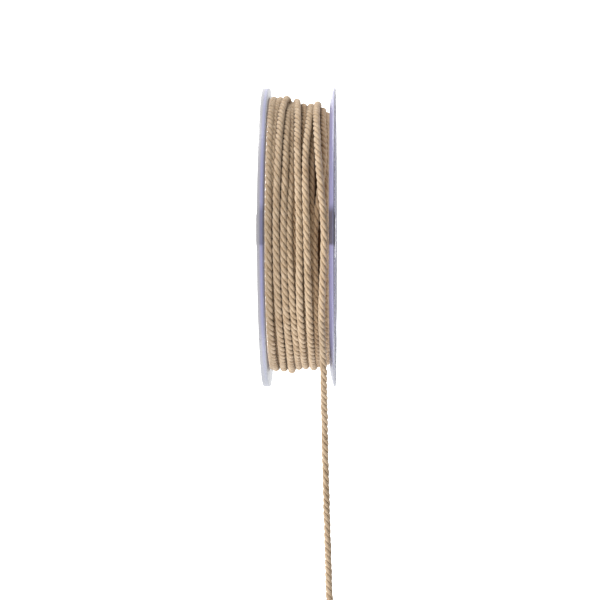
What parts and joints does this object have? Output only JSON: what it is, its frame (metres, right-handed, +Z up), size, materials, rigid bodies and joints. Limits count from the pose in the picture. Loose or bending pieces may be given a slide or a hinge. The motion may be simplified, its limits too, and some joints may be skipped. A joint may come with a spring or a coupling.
{
  "type": "twisted cord trim on a spool",
  "caption": "Laid cord trim wound in uneven turns on a clear flat spool, its loose end running down from the roll and lying in front of it.",
  "frame": {"origin": "on the surface that the spool stands on, under the middle of the spool, loose end left out", "axes": "+X along the spool's axis towards the flange beside the loose end, -Y the way the loose end runs, +Z up"},
  "size_m": [0.0236, 0.172, 0.0975],
  "materials": {
    "clear_plastic": "clear, polished, faintly violet at the edges",
    "cord": "matte laid cotton, beige"
  },
  "bodies": {
    "root": {"flange_left": "clear_plastic", "flange_right": "clear_plastic", "hub": "clear_plastic", "wound_cord": "cord", "loose_end": "cord"}
  },
  "joints": []
}
